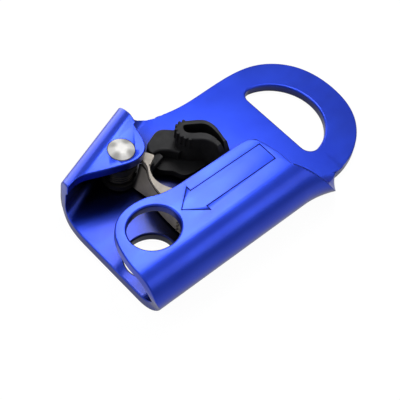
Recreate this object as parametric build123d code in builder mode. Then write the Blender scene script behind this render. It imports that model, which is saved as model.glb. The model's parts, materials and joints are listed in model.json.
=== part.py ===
import math
import os

from build123d import *

os.makedirs("parts", exist_ok=True)

# Frame: origin at the centre of the tie-in hole on the rest face of the back plate.
# +X runs down the rope channel, +Y towards the cam pivot, +Z out of the back plate.

# folded sheet
sheet = 4.0
frame_top = 21.5
clear_low = sheet
clear_high = frame_top - sheet
edge_round = 0.8
above = frame_top + 3.0
below = -3.0
UP = (Align.CENTER, Align.CENTER, Align.MIN)

# rope channel bend
channel_y = -9.9
channel_mid_z = frame_top / 2
channel_outer_y = channel_y - frame_top / 2
channel_inner_y = channel_outer_y + sheet
channel_start_x = -20.0
flare_start_x = 57.4
flare_r = 46.0
flare_angle = 38.0
bend_cut_length = 60.0
bend_cut_width = 31.0
bend_cut_out = 18.0

# top end, rounded over the ear and leaning out over the channel bend
top_end_x = -13.7
lean_x = -16.3
lean_z = 17.0
left_arc_r = 46.0
left_arc_y = 20.0

# harness end
end_x = 79.3
end_y = 15.4
end_r = 31.0
opening_x = 78.8
opening_y = 15.9
opening_r = 19.2
opening_flat_x = 77.9
opening_corner_r = 4.0

# ear fold
fold_angle = 20.0
ear_bend_v = 31.0
ear_bend_r = 8.0
ear_top_u = 39.3
ear_foot_u = 53.6
ear_top_z = frame_top - ear_bend_r
ear_outer_v = ear_bend_v + ear_bend_r
ear_inner_r = ear_bend_r - sheet
ear_inner_v = ear_bend_v + ear_inner_r
flap_v = 15.0
ear_length = 100.0
ear_cut_length = 80.0
ear_cut_width = 13.0
ear_cut_out = 8.0
ear_run = math.pi * ear_bend_r + ear_top_z - ear_bend_r
ear_stations = [(ear_top_z, turn) for turn in (0, 22.5, 45, 67.5, 90)]
ear_stations += [((ear_top_z + ear_bend_r) / 2, 90)]
ear_stations += [(ear_bend_r, turn) for turn in (90, 112.5, 135, 157.5, 180)]

# tie-in hole and pivot
tie_rx = 9.9
tie_ry = 8.7
pivot_x = 13.0
pivot_y = 32.6

rivet_r = 3.0
seat_gap = 0.02
running_gap = 0.05
tail_r = 4.2
tail_depth = 1.3
head_r = 4.85
spot_r = 5.15
spot_depth = 0.5
seat_z = frame_top - spot_depth
head_rim_z = 21.6
head_shoulder_r = 3.64
head_shoulder_z = 22.15
head_flat_r = 2.18
head_top_z = 22.5
arrow_tip = (11.9, -0.4)
arrow_end_x = 54.4
arrow_neck_x = 20.5
arrow_shaft_y = (-4.8, 4.0)
arrow_barb_y = (-7.1, 6.3)
engrave_depth = 0.25
engrave_width = 0.45
washer_t = 0.8
washer_edge = 0.3
rear_washer_r = 4.7
front_washer_r = 4.7
bush_r = 4.2

# cam between the washers
cam_low = clear_low + washer_t + 0.3
cam_high = clear_high - washer_t - 0.3
hub_r = 6.4
hub_clear = 0.4
spring_low = 7.4
spring_high = 13.8
face_low = [(13.9, 30.0), (14.1, 25.3), (14.7, 21.5), (15.0, 18.0), (14.3, 13.5), (13.8, 8.0)]
face_high = [(18.6, 27.0), (18.3, 24.0), (16.4, 21.0), (14.9, 17.6), (14.1, 13.0), (13.8, 8.0)]
nose_start = (13.7, 1.5)
nose_end = (32.0, -2.0)
blade_root = (20.8, 26.4)
nose_points = [nose_start, (15.4, -4.6), (21.4, -10.2), (28.0, -9.8), nose_end]
stop_low = 14.4
cheek_low_top = 7.0
cheek_corner_r = 0.6
groove_z = 14.3
groove_width = 0.9
groove_depth = 0.9
tooth_rows = (6.4, 8.5, 10.6, 12.7)
tooth_count = 11
tooth_start = 0.02
tooth_step = 0.07
tooth_height = 1.1
tooth_lean = 0.5
tooth_thick = 1.2
valley_depth = 0.3
root_depth = 2.0

# safety catch and its pin
pin_x = 21.7
pin_y = 27.0
pin_r = 1.0
pin_top = 15.9
boss_r = 2.2
boss_clear = 0.35
boss_high = 13.9
catch_low = 7.4
catch_top = 12.9
catch_round = 0.8
neck_top = 11.4
skirt_low = 5.6
skirt_top = 8.2
spring_room_r = 2.3
spring_room_top = 9.4
slot_length = 4.0
slot_width = 0.9
slot_offset = 1.5
thumb_top = 21.0
thumb_floor = 15.0
thumb_round = 0.5
tip_x = 38.0
tip_y = 15.5
tip_z = 15.4
ridge_count = 8
ridge_start = 0.47
ridge_step = 0.036
ridge_length = 4.5
ridge_r = 0.55
thumb_outer = [
    (46.0, 10.0),
    (46.6, 14.7),
    (47.6, 20.1),
    (46.9, 23.9),
    (42.1, 27.9),
    (39.4, 29.2),
    (36.6, 29.1),
    (34.9, 27.4),
    (34.7, 23.9),
    (36.9, 20.5),
    (40.5, 17.4),
    (41.7, 14.3),
    (41.5, 10.0),
]
thumb_inner = [
    (44.0, 10.8),
    (45.0, 13.1),
    (46.0, 18.9),
    (45.5, 22.7),
    (40.8, 26.4),
    (38.3, 27.4),
    (37.0, 25.3),
    (38.5, 22.9),
    (42.5, 19.7),
    (43.6, 16.5),
    (43.6, 12.7),
]

# torsion springs: coil height, mean radius, wire radius, rise per turn, turns, start angle and leg lengths
cam_spring_z = 8.1
cam_coil_r = 5.3
cam_wire_r = 0.55
cam_coil_pitch = 1.18
cam_coil_turns = 4 + 65 / 360
cam_coil_start = -20.0
cam_leg_low = 2.5
cam_leg_high = 6.2
catch_spring_z = 7.45
catch_coil_r = 1.5
catch_wire_r = 0.25
catch_coil_pitch = 0.56
catch_coil_turns = 2 + 250 / 360
catch_coil_start = 20.0
catch_leg_low = 1.2
catch_leg_high = 2.2

fold_dir = Vector(math.cos(math.radians(fold_angle)), math.sin(math.radians(fold_angle)), 0)
fold_out = Vector(-math.sin(math.radians(fold_angle)), math.cos(math.radians(fold_angle)), 0)
fold_start = Plane(origin=fold_dir * -30, x_dir=fold_out, z_dir=fold_dir)


def fold_xy(u, v):
    """Plan position of a point u along the ear fold direction and v out from it."""
    spot = fold_dir * u + fold_out * v
    return (spot.X, spot.Y)


def left_x(y):
    """X of the top end outline at height y above the straight stretch."""
    return top_end_x + left_arc_r - math.sqrt(left_arc_r**2 - (y - left_arc_y) ** 2)


def near_tie_hole(edge):
    """Rim edges of the tie-in hole."""
    spot = edge.position_at(0.5)
    return math.hypot(spot.X, spot.Y) < tie_rx + 0.5 and edge.geom_type != GeomType.LINE


left_top_y = 30.0
for _ in range(20):
    left_top_y = (ear_bend_v + left_x(left_top_y) * fold_dir.Y) / fold_dir.X
left_top = (left_x(left_top_y), left_top_y)
left_mid = (left_x(25.0), 25.0)
left_start = (top_end_x, left_arc_y)
left_end = (left_x(43.0), 43.0)

# where the flared channel bend runs out at the harness end outline
flare_cy = channel_y - flare_r
gap_x = end_x - flare_start_x
gap_y = end_y - flare_cy
gap = math.hypot(gap_x, gap_y)
along = (gap**2 + flare_r**2 - end_r**2) / (2 * gap)
across = math.sqrt(flare_r**2 - along**2)
meet_x = flare_start_x + (along * gap_x + across * gap_y) / gap
meet_y = flare_cy + (along * gap_y - across * gap_x) / gap
meet = (meet_x, meet_y)
flare_mid_angle = math.atan2(meet_y - flare_cy, meet_x - flare_start_x) / 2 + math.pi / 4
flare_mid_x = flare_start_x + flare_r * math.cos(flare_mid_angle)
flare_mid_y = flare_cy + flare_r * math.sin(flare_mid_angle)
flare_mid = (flare_mid_x, flare_mid_y)


def flare_y(x):
    """Y of the channel bend centre line at x."""
    return flare_cy + math.sqrt(flare_r**2 - max(x - flare_start_x, 0) ** 2)


with BuildPart() as channel:
    with BuildSketch(Plane.YZ.offset(channel_start_x)) as channel_section:
        with BuildLine():
            Line((channel_y, 0), (channel_y, sheet))
            ThreePointArc((channel_y, sheet), (channel_inner_y, channel_mid_z), (channel_y, clear_high))
            Line((channel_y, clear_high), (channel_y, frame_top))
            ThreePointArc((channel_y, frame_top), (channel_outer_y, channel_mid_z), (channel_y, 0))
        make_face()
    extrude(amount=flare_start_x - channel_start_x)
    revolve(
        channel.faces().sort_by(Axis.X)[-1],
        axis=Axis((flare_start_x, flare_cy, 0), (0, 0, -1)),
        revolution_arc=flare_angle,
    )
    # front flange
    with BuildSketch(Plane.XY.offset(clear_high)) as flange_outline:
        with BuildLine():
            Spline(
                (lean_x, channel_y),
                (-15.4, -1.9),
                (-11.2, 7.6),
                (-3.4, 11.8),
                (6.2, 11.3),
                (22.0, 8.5),
                tangents=[(0, 1), (1, 0)],
            )
            Line((22.0, 8.5), (48.5, 8.5))
            Spline(
                (48.5, 8.5),
                (54.6, 6.4),
                (56.7, -1.0),
                (flare_start_x, channel_y),
                tangents=[(1, 0), (0, -1)],
            )
            Line((flare_start_x, channel_y), (lean_x, channel_y))
        make_face()
    extrude(amount=sheet)
    # top end of the bend leans out slightly
    with BuildSketch(Plane.XZ.offset(40)) as top_end_trim:
        with BuildLine():
            Line((top_end_x, below), (top_end_x, sheet))
            Spline((top_end_x, sheet), (lean_x, lean_z), tangents=[(0, 1), (0, 1)])
            Polyline((lean_x, lean_z), (lean_x, above), (-30, above), (-30, below), (top_end_x, below))
        make_face()
    extrude(amount=-60, mode=Mode.SUBTRACT)
    # harness end of the bend is cut square to the sheet, from the flange corner to the plate corner
    for turn in range(0, 181, 15):
        radial = Vector(0, -math.sin(math.radians(turn)), math.cos(math.radians(turn)))
        cut_x = flare_start_x + (meet_x - flare_start_x) * turn / 180
        square_to_bend = Vector(1, 0, 0).cross(radial)
        cut_start = (0, flare_y(cut_x), channel_mid_z)
        with BuildSketch(Plane(origin=cut_start, x_dir=(1, 0, 0), z_dir=square_to_bend)):
            with Locations((cut_x + bend_cut_length / 2, bend_cut_out)):
                Rectangle(bend_cut_length, bend_cut_width)
    loft(mode=Mode.SUBTRACT)

with BuildPart() as ear:
    with BuildSketch(fold_start) as ear_section:
        with BuildLine():
            Line((ear_bend_v, 0), (ear_bend_v, sheet))
            RadiusArc((ear_bend_v, sheet), (ear_inner_v, ear_bend_r), -ear_inner_r)
            Line((ear_inner_v, ear_bend_r), (ear_inner_v, ear_top_z))
            RadiusArc((ear_inner_v, ear_top_z), (ear_bend_v, clear_high), -ear_inner_r)
            Line((ear_bend_v, clear_high), (flap_v, clear_high))
            Line((flap_v, clear_high), (flap_v, frame_top))
            Line((flap_v, frame_top), (ear_bend_v, frame_top))
            RadiusArc((ear_bend_v, frame_top), (ear_outer_v, ear_top_z), ear_bend_r)
            Line((ear_outer_v, ear_top_z), (ear_outer_v, ear_bend_r))
            RadiusArc((ear_outer_v, ear_bend_r), (ear_bend_v, 0), ear_bend_r)
        make_face()
    extrude(amount=ear_length)
    # top end of the ear
    with BuildSketch(Plane.XY.offset(below)) as ear_left_trim:
        with BuildLine():
            ThreePointArc(left_start, (left_x(32.0), 32.0), left_end)
            Polyline(left_end, (left_end[0], 60), (-60, 60), (-60, -20), (top_end_x, -20), left_start)
        make_face()
    extrude(amount=above - below, mode=Mode.SUBTRACT)
    # edge of the flap over the pivot
    with BuildSketch(Plane.XY.offset(channel_mid_z)) as flap_trim:
        with BuildLine():
            Line((-30, 31.6), (-13, 31.6))
            Spline(
                (-13, 31.6),
                (-8.0, 32.5),
                (0.0, 30.2),
                (8.0, 27.3),
                (14.0, 25.8),
                (19.2, 27.0),
                (22.2, 30.8),
                (24.5, 38.7),
                fold_xy(ear_top_u, ear_bend_v),
                tangents=[(1, 0), (0.2, 1)],
            )
            Polyline(fold_xy(ear_top_u, ear_bend_v), fold_xy(90, ear_bend_v), (90, 0), (-30, 0), (-30, 31.6))
        make_face()
    extrude(amount=above - channel_mid_z, mode=Mode.SUBTRACT)
    # lower end of the ear is cut square to the sheet, from the flap down to the plate
    for z, turn in ear_stations:
        radial = fold_out * math.sin(math.radians(turn)) + Vector(0, 0, math.cos(math.radians(turn)))
        run = (ear_top_z - z) + math.radians(turn) * ear_bend_r
        cut_u = ear_top_u + (ear_foot_u - ear_top_u) * run / ear_run
        start = fold_out * ear_bend_v + Vector(0, 0, z)
        with BuildSketch(Plane(origin=start, x_dir=fold_dir, z_dir=fold_dir.cross(radial))):
            with Locations((cut_u + ear_cut_length / 2, ear_cut_out)):
                Rectangle(ear_cut_length, ear_cut_width)
    loft(mode=Mode.SUBTRACT)

with BuildPart() as frame:
    with BuildSketch() as plate_outline:
        with BuildLine():
            Line((top_end_x, channel_y), (flare_start_x, channel_y))
            ThreePointArc((flare_start_x, channel_y), flare_mid, meet)
            Spline(
                meet,
                (96.4, -10.3),
                (106.0, -0.5),
                (109.9, 15.4),
                (105.4, 32.6),
                (94.2, 42.2),
                (78.0, 45.1),
                (60.0, 44.8),
                (47.4, 45.9),
                (43.0, 46.5),
                fold_xy(ear_foot_u, ear_bend_v),
                tangents=[(1, 0.05), (-1, 0.4)],
            )
            Line(fold_xy(ear_foot_u, ear_bend_v), left_top)
            ThreePointArc(left_top, left_mid, left_start)
            Line(left_start, (top_end_x, channel_y))
        make_face()
    extrude(amount=sheet)
    add(channel.part)
    add(ear.part)
    # harness opening
    with BuildSketch(Plane.XY.offset(below)) as harness_opening:
        with Locations((opening_x, opening_y)):
            Circle(opening_r)
        with Locations((opening_flat_x - opening_r, opening_y)):
            Rectangle(2 * opening_r, 3 * opening_r, mode=Mode.SUBTRACT)
        fillet(harness_opening.vertices(), opening_corner_r)
    extrude(amount=10, mode=Mode.SUBTRACT)
    fillet(frame.faces().sort_by(Axis.Z)[0].inner_wires().edges(), edge_round)
    opening_top = frame.faces().filter_by(Axis.Z).filter_by(lambda f: abs(f.center().Z - sheet) < 0.01)
    fillet(opening_top.sort_by(SortBy.AREA)[-1].inner_wires().edges(), edge_round)
    # tie-in hole through flange and plate
    with BuildSketch(Plane.XY.offset(below)) as tie_hole:
        Ellipse(tie_rx, tie_ry)
    extrude(amount=above - below, mode=Mode.SUBTRACT)
    fillet(frame.edges().filter_by(near_tie_hole), edge_round)
    # rivet hole, spot face in the ear and countersink in the back
    with Locations((pivot_x, pivot_y, 0)):
        Cylinder(rivet_r + seat_gap, frame_top, align=UP, mode=Mode.SUBTRACT)
        Cone(tail_r + seat_gap, rivet_r + seat_gap, tail_depth, align=UP, mode=Mode.SUBTRACT)
    with Locations((pivot_x, pivot_y, seat_z)):
        Cylinder(spot_r, above - frame_top, align=UP, mode=Mode.SUBTRACT)
    # engraved arrow pointing to the top end
    with BuildSketch(Plane.XY.offset(frame_top - engrave_depth)) as arrow:
        with BuildLine():
            Polyline(
                (arrow_end_x, arrow_shaft_y[1]),
                (arrow_neck_x, arrow_shaft_y[1]),
                (arrow_neck_x, arrow_barb_y[1]),
                arrow_tip,
                (arrow_neck_x, arrow_barb_y[0]),
                (arrow_neck_x, arrow_shaft_y[0]),
                (arrow_end_x, arrow_shaft_y[0]),
                close=True,
            )
        make_face()
        offset(amount=-engrave_width, kind=Kind.INTERSECTION, mode=Mode.SUBTRACT)
    extrude(amount=5, mode=Mode.SUBTRACT)

with BuildPart() as cam_rivet:
    with Locations((pivot_x, pivot_y, 0)):
        Cylinder(rivet_r, seat_z, align=UP)
        Cone(tail_r, rivet_r, tail_depth, align=UP)
    with BuildSketch(Plane.XZ.offset(-pivot_y)) as head_section:
        with BuildLine():
            Polyline((pivot_x, seat_z), (pivot_x + head_r, seat_z), (pivot_x + head_r, head_rim_z))
            ThreePointArc(
                (pivot_x + head_r, head_rim_z),
                (pivot_x + head_shoulder_r, head_shoulder_z),
                (pivot_x + head_flat_r, head_top_z),
            )
            Polyline((pivot_x + head_flat_r, head_top_z), (pivot_x, head_top_z), (pivot_x, seat_z))
        make_face()
    revolve(axis=Axis((pivot_x, pivot_y, 0), (0, 0, 1)))

with BuildPart() as cam_washer_rear:
    with Locations((pivot_x, pivot_y, clear_low)):
        Cylinder(rear_washer_r, washer_t, align=UP)
        fillet(cam_washer_rear.edges().sort_by(Axis.Z)[-1], washer_edge)
        Cylinder(rivet_r + seat_gap, washer_t, align=UP, mode=Mode.SUBTRACT)

with BuildPart() as cam_washer_front:
    with Locations((pivot_x, pivot_y, clear_high - washer_t)):
        Cylinder(front_washer_r, washer_t, align=UP)
        Cylinder(rivet_r + seat_gap, washer_t, align=UP, mode=Mode.SUBTRACT)

with BuildPart() as cam_bush:
    with Locations((pivot_x, pivot_y, cam_low)):
        Cylinder(bush_r, cam_high - cam_low, align=UP)
        Cylinder(rivet_r + running_gap, cam_high - cam_low, align=UP, mode=Mode.SUBTRACT)

nose_curve = Spline(*nose_points, tangents=[(0, -1), (0, 1)])
thumb_edge = Spline(*thumb_outer, tangents=[(0.1, 1), (0, -1)])


def face_at(z):
    """Plan points of the cam face at height z, from the hub to the nose."""
    share = (z - cam_low) / (cam_high - cam_low)
    return [(a[0] + (b[0] - a[0]) * share, a[1] + (b[1] - a[1]) * share) for a, b in zip(face_low, face_high)]


def face_start(z):
    """Hub end of the mud groove at height z."""
    first = face_at(z)[0]
    return (first[0] + groove_depth, first[1])


def cam_section(z):
    """Cam blade and nose outline on the plane at height z."""
    share = (z - cam_low) / (cam_high - cam_low)
    face = face_at(z)
    with BuildSketch(Plane.XY.offset(z)) as section:
        with BuildLine():
            Spline(*face, nose_start, tangents=[(0, -1), (0, -1)])
            Spline(*nose_points, tangents=[(0, -1), (0, 1)])
            Spline(
                nose_end,
                (25.0, 5.5),
                (17.6 + 0.4 * share, 12.4),
                (17.9 - 1.2 * share, 19.0),
                blade_root,
                tangents=[(-0.5, 1), (0.6, 1)],
            )
            Line(blade_root, face[0])
        make_face()
    return section.sketch


with BuildPart() as cam:
    loft([cam_section(height).face() for height in (cam_low, (cam_low + cam_high) / 2, cam_high)])
    # hub discs with the spring space between them
    with Locations((pivot_x, pivot_y, cam_low)):
        Cylinder(hub_r, cam_high - cam_low, align=UP)
    # root of the cheeks beside the hub
    with BuildSketch(Plane.XY.offset(cam_low)) as root:
        with BuildLine():
            Polyline((14, 29.5), (19.4, 30.2), (21.2, 33.8), (14, 37), close=True)
        make_face()
    extrude(amount=cam_high - cam_low)
    # cheeks that carry the safety catch pin
    with BuildSketch(Plane.XY.offset(stop_low)) as upper_cheek:
        with BuildLine():
            Polyline((16, 31), (18.8, 27.0), (19.6, 23.9), (23.6, 26.1), (22.4, 28.6), (19, 31.4), close=True)
        make_face()
        fillet(upper_cheek.vertices().sort_by(Axis.X)[-1], cheek_corner_r)
    extrude(amount=cam_high - stop_low)
    with BuildSketch(Plane.XY.offset(cam_low)) as lower_cheek:
        with BuildLine():
            Polyline((16, 26), (19.6, 24.2), (21.7, 24.4), (24.3, 27), (22.4, 29.6), (19, 32), (16, 31), close=True)
        make_face()
    extrude(amount=cheek_low_top - cam_low)
    with Locations((pivot_x, pivot_y, spring_low)):
        Cylinder(hub_r + hub_clear, spring_high - spring_low, align=UP, mode=Mode.SUBTRACT)
    with Locations((pivot_x, pivot_y, cam_low)):
        Cylinder(bush_r, cam_high - cam_low, align=UP, mode=Mode.SUBTRACT)
    # room for the catch boss between the cheeks, and the blind pin hole
    with Locations((pin_x, pin_y, cheek_low_top)):
        Cylinder(boss_r + boss_clear, stop_low - cheek_low_top, align=UP, mode=Mode.SUBTRACT)
    with Locations((pin_x, pin_y, cam_low)):
        Cylinder(pin_r, pin_top - cam_low, align=UP, mode=Mode.SUBTRACT)
    # mud groove below the upper rim of the face
    with BuildSketch(Plane.XY.offset(groove_z)) as groove:
        with BuildLine():
            Spline(*[(x + groove_depth, y) for x, y in face_at(groove_z)], tangents=[(0, -1), (0, -1)])
            Polyline((13.8 + groove_depth, 8.0), (5, 8), (5, 24), face_start(groove_z))
        make_face()
    extrude(amount=groove_width, mode=Mode.SUBTRACT)
    # rows of teeth round the nose
    for row_z in tooth_rows:
        tips = []
        roots = []
        for index in range(tooth_count + 1):
            place = tooth_start + tooth_step * index
            spot = nose_curve @ place
            heading = nose_curve % place
            outward = Vector(heading.Y, -heading.X, 0)
            valley = spot - outward * valley_depth
            deep = spot - outward * root_depth
            tip = spot + outward * tooth_height - heading * tooth_lean
            tips += [(tip.X, tip.Y), (valley.X, valley.Y)]
            roots.append((deep.X, deep.Y))
        with BuildSketch(Plane.XY.offset(row_z)) as tooth_row:
            with BuildLine():
                Polyline(*tips, *reversed(roots), close=True)
            make_face()
        extrude(amount=tooth_thick)

with BuildPart() as safety_catch:
    with BuildSketch(Plane.XY.offset(catch_low)) as catch_body:
        with BuildLine():
            Spline((26.0, 29.0), (29.8, 27.8), (33.5, 23.6), tangents=[(1, 0.1), (0.6, -1)])
            Polyline((33.5, 23.6), (42, 24), (40.0, 32.4))
            Spline((40.0, 32.4), (34.4, 36.2), (28.4, 34.4), (25.2, 31.0), tangents=[(-0.8, 0.6), (-0.4, -1)])
            Line((25.2, 31.0), (26.0, 29.0))
        make_face()
    extrude(amount=catch_top - catch_low)
    fillet(safety_catch.faces().sort_by(Axis.Z)[-1].edges().filter_by(GeomType.BSPLINE), catch_round)
    # boss on the pin and the neck to it
    with BuildSketch(Plane.XY.offset(catch_low)) as neck:
        with BuildLine():
            Polyline((21.0, 28.8), (22.6, 25.0), (28.5, 26.5), (28.5, 31.5), (25.6, 31.0), close=True)
        make_face()
    extrude(amount=neck_top - catch_low)
    with Locations((pin_x, pin_y, catch_low)):
        Cylinder(boss_r, boss_high - catch_low, align=UP)
        # room for the catch spring below the boss, with a slot for its upper leg
        Cylinder(spring_room_r, spring_room_top - catch_low, align=UP, mode=Mode.SUBTRACT)
    with Locations((pin_x + slot_length / 2, pin_y - slot_offset, catch_low)):
        Box(slot_length, slot_width, spring_room_top - catch_low, align=UP, mode=Mode.SUBTRACT)
    # thumb tab with its recess
    with BuildSketch(Plane.XY.offset(skirt_low)) as thumb_tab:
        with BuildLine():
            add(thumb_edge)
            ThreePointArc(thumb_outer[-1], (43.8, 9.3), thumb_outer[0])
        make_face()
    extrude(amount=thumb_top - skirt_low)
    fillet(safety_catch.faces().sort_by(Axis.Z)[-1].edges(), thumb_round)
    with BuildSketch(Plane.XY.offset(thumb_floor)) as thumb_recess:
        with BuildLine():
            Spline(*thumb_inner, thumb_inner[0])
        make_face()
    extrude(amount=10, mode=Mode.SUBTRACT)
    # low end of the thumb tab slopes under the flange
    with BuildSketch(Plane.YZ.offset(tip_x)) as tip_slope:
        with BuildLine():
            Polyline((tip_y, above), (tip_y - 9, above), (tip_y - 9, tip_z), (tip_y - 7, tip_z), close=True)
        make_face()
    extrude(amount=20, mode=Mode.SUBTRACT)
    # grip ridges round the upper end of the thumb tab
    for index in range(ridge_count):
        spot = thumb_edge @ (ridge_start + index * ridge_step)
        with Locations((spot.X, spot.Y, thumb_top - ridge_length)):
            Cylinder(ridge_r, ridge_length + 0.1, align=UP)
    # skirt below the body
    with BuildSketch(Plane.XY.offset(skirt_low)) as skirt:
        with BuildLine():
            Spline(
                (24.9, 25.6),
                (26.8, 22.8),
                (28.8, 20.8),
                (30.4, 17.4),
                (34.0, 15.8),
                tangents=[(0.4, -1), (1, -0.2)],
            )
            Polyline((34.0, 15.8), (39.4, 15.6), (45.0, 16.2), (45, 24), (36, 30), (26.6, 30), (24.9, 25.6))
        make_face()
    extrude(amount=skirt_top - skirt_low)
    with Locations((pin_x, pin_y, skirt_low)):
        Cylinder(pin_r + running_gap, thumb_top - skirt_low, align=UP, mode=Mode.SUBTRACT)

with BuildPart() as catch_pin:
    with Locations((pin_x, pin_y, cam_low)):
        Cylinder(pin_r, pin_top - cam_low, align=UP)


def torsion_spring(x, y, z, coil_r, wire_r, pitch, turns, start, leg_low, leg_high):
    """Round wire coil starting at angle start, with a straight leg running on from each end."""
    coil = Pos(x, y, z) * Rot(0, 0, start) * Helix(pitch=pitch, height=pitch * turns, radius=coil_r)
    low_leg = Line((coil @ 0) - (coil % 0) * leg_low, coil @ 0)
    high_leg = Line(coil @ 1, (coil @ 1) + (coil % 1) * leg_high)
    wire_end = Plane(origin=low_leg @ 0, z_dir=low_leg % 0)
    return sweep(wire_end * Circle(wire_r), path=Wire([low_leg.edge(), coil.edge(), high_leg.edge()]))


cam_wire = torsion_spring(
    pivot_x,
    pivot_y,
    cam_spring_z,
    cam_coil_r,
    cam_wire_r,
    cam_coil_pitch,
    cam_coil_turns,
    cam_coil_start,
    cam_leg_low,
    cam_leg_high,
)
with BuildPart() as cam_spring:
    add(cam_wire)

catch_wire = torsion_spring(
    pin_x,
    pin_y,
    catch_spring_z,
    catch_coil_r,
    catch_wire_r,
    catch_coil_pitch,
    catch_coil_turns,
    catch_coil_start,
    catch_leg_low,
    catch_leg_high,
)
with BuildPart() as catch_spring:
    add(catch_wire)

frame.part.label = "frame"
export_step(frame.part, "parts/frame.step")
cam_rivet.part.label = "cam_rivet"
export_step(cam_rivet.part, "parts/cam_rivet.step")
cam_washer_rear.part.label = "cam_washer_rear"
export_step(cam_washer_rear.part, "parts/cam_washer_rear.step")
cam_washer_front.part.label = "cam_washer_front"
export_step(cam_washer_front.part, "parts/cam_washer_front.step")
cam_bush.part.label = "cam_bush"
export_step(cam_bush.part, "parts/cam_bush.step")
cam.part.label = "cam"
export_step(cam.part, "parts/cam.step")
safety_catch.part.label = "safety_catch"
export_step(safety_catch.part, "parts/safety_catch.step")
catch_pin.part.label = "catch_pin"
export_step(catch_pin.part, "parts/catch_pin.step")
cam_spring.part.label = "cam_spring"
export_step(cam_spring.part, "parts/cam_spring.step")
catch_spring.part.label = "catch_spring"
export_step(catch_spring.part, "parts/catch_spring.step")
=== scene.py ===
import json
import math

import bmesh
import bpy
from mathutils import Matrix, Vector

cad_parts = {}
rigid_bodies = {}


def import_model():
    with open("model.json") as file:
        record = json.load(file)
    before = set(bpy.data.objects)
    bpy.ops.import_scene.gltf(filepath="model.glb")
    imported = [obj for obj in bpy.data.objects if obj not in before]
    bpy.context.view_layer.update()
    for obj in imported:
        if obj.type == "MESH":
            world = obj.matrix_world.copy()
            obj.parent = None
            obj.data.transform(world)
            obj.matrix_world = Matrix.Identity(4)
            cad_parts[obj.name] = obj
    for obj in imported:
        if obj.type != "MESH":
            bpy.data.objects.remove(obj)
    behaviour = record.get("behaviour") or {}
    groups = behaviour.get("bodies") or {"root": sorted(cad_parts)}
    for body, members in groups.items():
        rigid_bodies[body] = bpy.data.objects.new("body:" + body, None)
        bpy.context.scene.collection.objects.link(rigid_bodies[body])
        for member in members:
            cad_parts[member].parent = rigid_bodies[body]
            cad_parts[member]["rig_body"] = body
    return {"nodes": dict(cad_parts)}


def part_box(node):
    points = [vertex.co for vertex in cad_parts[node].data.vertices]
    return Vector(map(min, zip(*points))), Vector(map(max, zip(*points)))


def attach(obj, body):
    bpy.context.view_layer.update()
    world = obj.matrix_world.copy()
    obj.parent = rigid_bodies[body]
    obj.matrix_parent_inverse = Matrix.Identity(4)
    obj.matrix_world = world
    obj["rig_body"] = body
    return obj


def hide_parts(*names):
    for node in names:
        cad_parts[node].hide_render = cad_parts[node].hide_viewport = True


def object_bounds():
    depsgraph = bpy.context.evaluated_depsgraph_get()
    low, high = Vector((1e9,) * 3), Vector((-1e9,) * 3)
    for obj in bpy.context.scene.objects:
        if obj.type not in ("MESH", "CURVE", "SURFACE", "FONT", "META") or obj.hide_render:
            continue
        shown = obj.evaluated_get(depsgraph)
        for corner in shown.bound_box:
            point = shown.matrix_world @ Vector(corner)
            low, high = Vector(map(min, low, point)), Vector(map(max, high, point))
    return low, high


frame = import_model()
cad_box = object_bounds()
nodes = frame["nodes"]

# view of the object: target on the rest face, angles in degrees, distance and lens in metres and mm
view_target = Vector((0.03241, 0.00884, 0.0))
view_azimuth = -50.47
view_elevation = 53.41
view_roll = 9.8
view_distance = 0.43776
view_lens = 106.43

# painted reflection: soft darker sectors round the rivet head, standing in for the reflections of its
# turned face
reflection_sector_count = 4.0

# painted shade: dark zone round the cam's hub, standing in for the shadow under the ear flap
hub_shade_full_r = 0.0071
hub_shade_end_r = 0.0082

# softened sheet edges: width in metres, steps across it, and the least angle of an edge that is rounded
edge_width = 0.0005
edge_steps = 4
square_angle = math.radians(60)

# mesh clean-up: distance that welds two points, angle that still counts as one plane, and how far up
# the normal of a level face and of an upright face points
weld_distance = 0.000004
plane_angle = math.radians(0.1)
level_slope = 0.99999
upright_slope = 0.00001

# shading: angle between faces that stays sharp, pull of the larger faces on the normals
sharp_angle = math.radians(38)
normal_weight = 80

# parts of the sheet whose edges stay square: rivet seat, lower corner of the ear, flared channel end
rivet_seat_r = 0.0055
ear_foot = (0.0415, 0.0468)
ear_foot_reach = 0.0055
flare_start_x = 0.0572
flare_end_x = 0.0865
flare_low_y = -0.0080

# engraved arrow on the front flange: reach in x and y, depth below the flange top that takes in its
# groove, and depth from which a face belongs to the groove and not to the top
arrow_x = (0.0115, 0.055)
arrow_y = (-0.0075, 0.0067)
arrow_depth = 0.0006
groove_depth = 0.00002

# soft lights: name, place, size in metres, power in watts, point aimed at
soft_lights = (
    ("top_softbox", (0.125, 0.105, 0.24), 0.10, 0.20, (0.0, 0.0, 0.0)),
    ("left_softbox", (-0.50, 0.20, 0.45), 0.40, 0.8, (0.035, 0.01, 0.0)),
    ("right_softbox", (0.27, -0.32, 0.36), 0.26, 0.20, (0.035, 0.01, 0.0)),
    ("rear_softbox", (0.14, 0.45, 0.02), 0.30, 0.5, (0.035, 0.01, 0.0)),
)

# brightness of the surroundings, from straight below (0) to straight above (1)
sky_stops = ((0.0, 0.55), (0.38, 0.52), (0.54, 0.26), (0.68, 0.33), (0.95, 0.50))

# floor half width, gap under the object and brightness
floor_reach = 3.0
floor_gap = 0.0001
floor_glow = 0.96


# ---------------------------------------------------------------- materials
def principled(name, color, metallic=0.0, roughness=0.5, **sockets):
    """A new node material with one Principled shader; returns the material, its tree and the shader."""
    material = bpy.data.materials.new(name)
    material.use_nodes = True
    tree = material.node_tree
    shader = tree.nodes["Principled BSDF"]
    shader.inputs["Base Color"].default_value = (*color, 1.0)
    shader.inputs["Metallic"].default_value = metallic
    shader.inputs["Roughness"].default_value = roughness
    for socket, value in sockets.items():
        shader.inputs[socket.replace("_", " ")].default_value = value
    return material, tree, shader


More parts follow.
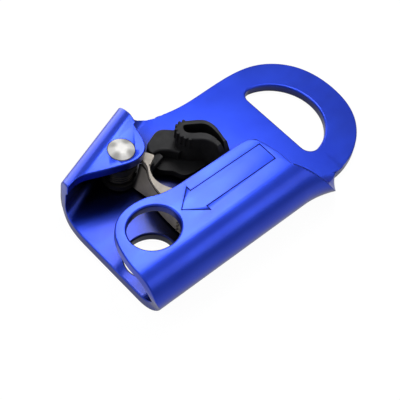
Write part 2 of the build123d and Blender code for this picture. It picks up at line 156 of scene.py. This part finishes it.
def noise(tree, scale, detail=3.0, stretch=(1.0, 1.0, 1.0)):
    """Noise on object coordinates, in features per metre, stretched along the row axes."""
    where = tree.nodes.new("ShaderNodeTexCoord")
    mapping = tree.nodes.new("ShaderNodeMapping")
    mapping.inputs["Scale"].default_value = stretch
    texture = tree.nodes.new("ShaderNodeTexNoise")
    texture.inputs["Scale"].default_value = scale
    texture.inputs["Detail"].default_value = detail
    texture.inputs["Roughness"].default_value = 0.5
    tree.links.new(where.outputs["Object"], mapping.inputs["Vector"])
    tree.links.new(mapping.outputs["Vector"], texture.inputs["Vector"])
    return texture.outputs["Fac"]


def spread(tree, value, low, high, from_low=0.3, from_high=0.7):
    """The value remapped to run from low to high."""
    remap = tree.nodes.new("ShaderNodeMapRange")
    remap.inputs["From Min"].default_value = from_low
    remap.inputs["From Max"].default_value = from_high
    remap.inputs["To Min"].default_value = low
    remap.inputs["To Max"].default_value = high
    tree.links.new(value, remap.inputs["Value"])
    return remap.outputs["Result"]


def tint(tree, value, dark, light):
    """A colour between dark and light, where light is a colour or a socket."""
    mix = tree.nodes.new("ShaderNodeMix")
    mix.data_type = "RGBA"
    mix.inputs["A"].default_value = (*dark, 1.0)
    if isinstance(light, tuple):
        mix.inputs["B"].default_value = (*light, 1.0)
    else:
        tree.links.new(light, mix.inputs["B"])
    tree.links.new(value, mix.inputs["Factor"])
    return mix.outputs["Result"]


def bump(tree, shader, value, depth, strength=1.0):
    """Bump of the given depth in metres, added to what the shader already has."""
    node = tree.nodes.new("ShaderNodeBump")
    node.inputs["Strength"].default_value = strength
    node.inputs["Distance"].default_value = depth
    tree.links.new(value, node.inputs["Height"])
    if shader.inputs["Normal"].is_linked:
        tree.links.new(shader.inputs["Normal"].links[0].from_socket, node.inputs["Normal"])
    tree.links.new(node.outputs["Normal"], shader.inputs["Normal"])


def painted_hollow_shade(tree, shader, color, hollow_shade_color, reach=0.02, low=0.25, high=0.8):
    """Base colour darkened towards the given colour as painted shade, in places hemmed in within reach of
    other surfaces.
    """
    around = tree.nodes.new("ShaderNodeAmbientOcclusion")
    around.inputs["Distance"].default_value = reach
    around.samples = 12
    level = spread(tree, around.outputs["AO"], 0.0, 1.0, low, high)
    mix = tree.nodes.new("ShaderNodeMix")
    mix.data_type = "RGBA"
    mix.inputs["A"].default_value = (*hollow_shade_color, 1.0)
    tree.links.new(level, mix.inputs["Factor"])
    tree.links.new(color, mix.inputs["B"])
    tree.links.new(mix.outputs["Result"], shader.inputs["Base Color"])
    return mix.outputs["Result"]


def plan_distance(tree, centre):
    """Distance in plan from a vertical axis through centre, in metres."""
    where = tree.nodes.new("ShaderNodeTexCoord")
    offset = tree.nodes.new("ShaderNodeVectorMath")
    offset.operation = "SUBTRACT"
    offset.inputs[1].default_value = (centre.x, centre.y, 0.0)
    flat = tree.nodes.new("ShaderNodeVectorMath")
    flat.operation = "MULTIPLY"
    flat.inputs[1].default_value = (1.0, 1.0, 0.0)
    length = tree.nodes.new("ShaderNodeVectorMath")
    length.operation = "LENGTH"
    tree.links.new(where.outputs["Object"], offset.inputs[0])
    tree.links.new(offset.outputs["Vector"], flat.inputs[0])
    tree.links.new(flat.outputs["Vector"], length.inputs[0])
    return length.outputs["Value"]


def anodised_blue():
    material, tree, shader = principled(
        "anodised_blue",
        (0.03, 0.09, 0.7),
        metallic=1.0,
        roughness=0.34,
        Coat_Weight=0.5,
        Coat_Roughness=0.22,
    )
    cloud = noise(tree, 60.0, detail=4.0)
    color = tint(tree, spread(tree, cloud, 0.0, 1.0), (0.015, 0.056, 0.70), (0.021, 0.072, 0.78))
    # painted shade: the blue falls to near black in the hollows under the ear flap and the flange
    painted_hollow_shade(tree, shader, color, (0.003, 0.004, 0.024), reach=0.03, low=0.38, high=0.84)
    rubbed = noise(tree, 220.0, detail=6.0, stretch=(0.25, 1.0, 1.0))
    tree.links.new(spread(tree, rubbed, 0.31, 0.41), shader.inputs["Roughness"])
    bump(tree, shader, noise(tree, 5200.0, detail=2.0), 0.000012, 0.5)
    bump(tree, shader, noise(tree, 420.0, detail=3.0), 0.00002, 0.25)
    return material


def groove_shade():
    material, tree, shader = principled(
        "groove_shade", (0.008, 0.016, 0.12), metallic=0.6, roughness=0.6
    )
    cloud = spread(tree, noise(tree, 900.0), 0.0, 1.0)
    color = tint(tree, cloud, (0.006, 0.012, 0.10), (0.010, 0.022, 0.16))
    tree.links.new(color, shader.inputs["Base Color"])
    return material


def cam_steel(centre):
    material, tree, shader = principled("cam_steel", (0.46, 0.41, 0.35), metallic=0.35, roughness=0.5)
    cloud = noise(tree, 260.0, detail=5.0)
    color = tint(tree, spread(tree, cloud, 0.0, 1.0), (0.42, 0.38, 0.33), (0.52, 0.47, 0.41))
    # painted shade: near black round the hub, fading to the steel between the two radii
    dark = (0.012, 0.011, 0.011)
    away = spread(tree, plan_distance(tree, centre), 0.0, 1.0, hub_shade_full_r, hub_shade_end_r)
    color = tint(tree, away, dark, color)
    # painted shade: the steel darkens in the cam's hollows and, with the short reach, in narrow grooves
    color = painted_hollow_shade(tree, shader, color, dark, reach=0.012, low=0.15, high=0.7)
    painted_hollow_shade(tree, shader, color, dark, reach=0.0016, low=0.30, high=0.62)
    tree.links.new(spread(tree, noise(tree, 900.0), 0.45, 0.6), shader.inputs["Roughness"])
    bump(tree, shader, noise(tree, 2600.0, detail=4.0), 0.00003, 0.5)
    return material


def turned_steel(centre):
    """Bright turned head with painted reflection: soft darker sectors round its rim."""
    material, tree, shader = principled("turned_steel", (0.95, 0.94, 0.91), metallic=0.2, roughness=0.45)
    where = tree.nodes.new("ShaderNodeTexCoord")
    mapping = tree.nodes.new("ShaderNodeMapping")
    mapping.inputs["Location"].default_value = (-centre.x, -centre.y, 0.0)
    split = tree.nodes.new("ShaderNodeSeparateXYZ")
    angle = tree.nodes.new("ShaderNodeMath")
    angle.operation = "ARCTAN2"
    lobes = tree.nodes.new("ShaderNodeMath")
    lobes.operation = "MULTIPLY"
    lobes.inputs[1].default_value = reflection_sector_count
    wave = tree.nodes.new("ShaderNodeMath")
    wave.operation = "SINE"
    tree.links.new(where.outputs["Object"], mapping.inputs["Vector"])
    tree.links.new(mapping.outputs["Vector"], split.inputs["Vector"])
    tree.links.new(split.outputs["Y"], angle.inputs[0])
    tree.links.new(split.outputs["X"], angle.inputs[1])
    tree.links.new(angle.outputs["Value"], lobes.inputs[0])
    tree.links.new(lobes.outputs["Value"], wave.inputs[0])
    # painted reflection: darker sectors growing from the centre of the head outward
    outward = spread(tree, plan_distance(tree, centre), 0.0, 1.0, 0.0012, 0.0030)
    reflection_sector = spread(tree, wave.outputs["Value"], 0.0, 1.0, -0.6, 0.9)
    shade = tree.nodes.new("ShaderNodeMath")
    shade.operation = "MULTIPLY"
    tree.links.new(outward, shade.inputs[0])
    tree.links.new(reflection_sector, shade.inputs[1])
    color = tint(tree, shade.outputs["Value"], (0.84, 0.83, 0.81), (0.46, 0.45, 0.43))
    tree.links.new(color, shader.inputs["Base Color"])
    tree.links.new(spread(tree, noise(tree, 1500.0), 0.38, 0.5), shader.inputs["Roughness"])
    bump(tree, shader, noise(tree, 3000.0), 0.000008, 0.4)
    return material


def plain_steel():
    material, tree, shader = principled("plain_steel", (0.035, 0.033, 0.031), metallic=1.0, roughness=0.35)
    brushed = noise(tree, 1800.0, stretch=(1.0, 1.0, 4.0))
    tree.links.new(spread(tree, brushed, 0.24, 0.4), shader.inputs["Roughness"])
    return material


def black_plastic():
    material, tree, shader = principled(
        "black_plastic", (0.012, 0.012, 0.014), roughness=0.5, Specular_IOR_Level=0.3
    )
    grain = noise(tree, 2400.0, detail=3.0)
    tree.links.new(spread(tree, noise(tree, 180.0), 0.42, 0.58), shader.inputs["Roughness"])
    cloud = spread(tree, noise(tree, 320.0), 0.0, 1.0)
    color = tint(tree, cloud, (0.010, 0.010, 0.012), (0.017, 0.017, 0.019))
    # painted shade: the plastic darkens further in hollows between the parts
    painted_hollow_shade(tree, shader, color, (0.001, 0.001, 0.0012), reach=0.012, low=0.2, high=0.7)
    bump(tree, shader, grain, 0.00003, 0.45)
    return material


def paint(node, material):
    """Puts one material on every slot of a CAD node."""
    mesh = nodes[node].data
    if not mesh.materials:
        mesh.materials.append(material)
    for index in range(len(mesh.materials)):
        mesh.materials[index] = material


def is_flat(edge):
    """True for an edge inside a face that lies level or stands upright."""
    slopes = [abs(face.normal.z) for face in edge.link_faces]
    return len(slopes) == 2 and (min(slopes) > level_slope or max(slopes) < upright_slope)


def rounded_copy(node, name, rounds):
    """A copy of a CAD node with its square edges rounded, where rounds(middle of the edge) is true."""
    source = nodes[node]
    shape = bmesh.new()
    shape.from_mesh(source.data)
    bmesh.ops.remove_doubles(shape, verts=shape.verts, dist=weld_distance)
    shape.normal_update()
    seams = [edge for edge in shape.edges if is_flat(edge)]
    bmesh.ops.dissolve_limit(shape, angle_limit=plane_angle, verts=[], edges=seams)
    shape.normal_update()
    square = [
        edge
        for edge in shape.edges
        if len(edge.link_faces) == 2
        and edge.calc_face_angle() > square_angle
        and rounds((edge.verts[0].co + edge.verts[1].co) / 2)
    ]
    bmesh.ops.bevel(
        shape,
        geom=square,
        offset=edge_width,
        offset_type="OFFSET",
        segments=edge_steps,
        profile=0.5,
        affect="EDGES",
        clamp_overlap=False,
        miter_outer="SHARP",
        loop_slide=False,
    )
    bmesh.ops.triangulate(shape, faces=[face for face in shape.faces if len(face.verts) > 4])
    mesh = bpy.data.meshes.new(name)
    shape.to_mesh(mesh)
    shape.free()
    for face in mesh.polygons:
        face.use_smooth = abs(face.normal.z) < level_slope
    mesh.set_sharp_from_angle(angle=sharp_angle)
    piece = bpy.data.objects.new(name, mesh)
    bpy.context.scene.collection.objects.link(piece)
    shading = piece.modifiers.new("shading", "WEIGHTED_NORMAL")
    shading.keep_sharp = True
    shading.weight = normal_weight
    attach(piece, source["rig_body"])
    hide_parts(node)
    return piece


# ---------------------------------------------------------------- object
frame_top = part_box("frame")[1].z
pivot = (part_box("cam_rivet")[0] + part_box("cam_rivet")[1]) / 2
blue = anodised_blue()
cam_finish = cam_steel(pivot)
turned = turned_steel(pivot)
steel = plain_steel()
black = black_plastic()

finishes = {
    "frame": blue,
    "cam_rivet": turned,
    "cam_washer_rear": black,
    "cam_washer_front": black,
    "cam_bush": steel,
    "cam": cam_finish,
    "cam_spring": steel,
    "safety_catch": black,
    "catch_pin": steel,
    "catch_spring": steel,
}
for node, finish in finishes.items():
    paint(node, finish)


def in_arrow(middle):
    """True on the engraved arrow of the flange."""
    in_reach = arrow_x[0] < middle.x < arrow_x[1] and arrow_y[0] < middle.y < arrow_y[1]
    return in_reach and middle.z > frame_top - arrow_depth


def on_outline(middle):
    """True away from the engraved arrow and the parts whose edges stay square."""
    at_rivet = math.hypot(middle.x - pivot.x, middle.y - pivot.y) < rivet_seat_r
    at_ear_foot = math.hypot(middle.x - ear_foot[0], middle.y - ear_foot[1]) < ear_foot_reach
    at_flare = flare_start_x < middle.x < flare_end_x and middle.y < flare_low_y
    return not (in_arrow(middle) or at_rivet or at_ear_foot or at_flare)


sheet_piece = rounded_copy("frame", "sheet_frame", on_outline)
sheet_piece.data.materials.append(blue)
sheet_piece.data.materials.append(groove_shade())
for face in sheet_piece.data.polygons:
    if in_arrow(face.center) and face.center.z < frame_top - groove_depth:
        face.material_index = 1


# ---------------------------------------------------------------- floor, light, camera
def make_floor():
    """A wide pale floor under the rest face."""
    low = cad_box[0][2] - floor_gap
    mesh = bpy.data.meshes.new("floor")
    sides = ((-1, -1), (1, -1), (1, 1), (-1, 1))
    corners = [(x * floor_reach, y * floor_reach, low) for x, y in sides]
    mesh.from_pydata(corners, [], [(0, 1, 2, 3)])
    floor = bpy.data.objects.new("floor", mesh)
    bpy.context.scene.collection.objects.link(floor)
    material, tree, shader = principled("pale_floor", (0.06, 0.06, 0.06), roughness=0.9)
    shader.inputs["Emission Color"].default_value = (1.0, 1.0, 1.0, 1.0)
    shader.inputs["Emission Strength"].default_value = floor_glow
    mesh.materials.append(material)
    floor.visible_glossy = False
    floor.visible_diffuse = False


def area_light(name, place, size, power, aim):
    """A soft square light at place, aimed at a point, both in metres."""
    data = bpy.data.lights.new(name, "AREA")
    data.energy = power
    data.size = size
    light = bpy.data.objects.new(name, data)
    bpy.context.scene.collection.objects.link(light)
    light.location = place
    light.rotation_euler = (Vector(place) - Vector(aim)).to_track_quat("Z", "Y").to_euler()


def make_world():
    """Studio surroundings: even overhead and below, dimmer just above the horizon."""
    world = bpy.data.worlds.new("studio")
    bpy.context.scene.world = world
    world.use_nodes = True
    tree = world.node_tree
    where = tree.nodes.new("ShaderNodeTexCoord")
    split = tree.nodes.new("ShaderNodeSeparateXYZ")
    lift = tree.nodes.new("ShaderNodeMapRange")
    lift.inputs["From Min"].default_value = -1.0
    ramp = tree.nodes.new("ShaderNodeValToRGB")
    while len(ramp.color_ramp.elements) < len(sky_stops):
        ramp.color_ramp.elements.new(0.5)
    for element, (position, level) in zip(ramp.color_ramp.elements, sky_stops):
        element.position = position
        element.color = (level, level, level, 1.0)
    tree.links.new(where.outputs["Generated"], split.inputs["Vector"])
    tree.links.new(split.outputs["Z"], lift.inputs["Value"])
    tree.links.new(lift.outputs["Result"], ramp.inputs["Fac"])
    tree.links.new(ramp.outputs["Color"], tree.nodes["Background"].inputs["Color"])


def make_camera():
    """Camera from the target, azimuth, elevation, roll and distance of the view."""
    turn = math.radians(view_azimuth)
    lift = math.radians(view_elevation)
    roll = math.radians(view_roll)
    back = Vector((math.sin(turn) * math.cos(lift), -math.cos(turn) * math.cos(lift), math.sin(lift)))
    right = Vector((math.cos(turn), math.sin(turn), 0.0))
    up = back.cross(right)
    rolled_right = right * math.cos(roll) + up * math.sin(roll)
    rolled_up = up * math.cos(roll) - right * math.sin(roll)
    data = bpy.data.cameras.new("camera")
    data.lens = view_lens
    data.sensor_width = 36.0
    data.clip_start = 0.01
    camera = bpy.data.objects.new("camera", data)
    bpy.context.scene.collection.objects.link(camera)
    matrix = Matrix((rolled_right, rolled_up, back)).transposed().to_4x4()
    matrix.translation = view_target + back * view_distance
    camera.matrix_world = matrix
    bpy.context.scene.camera = camera


make_floor()
make_world()
for soft_light in soft_lights:
    area_light(*soft_light)
make_camera()
bpy.context.scene.view_settings.view_transform = "Standard"
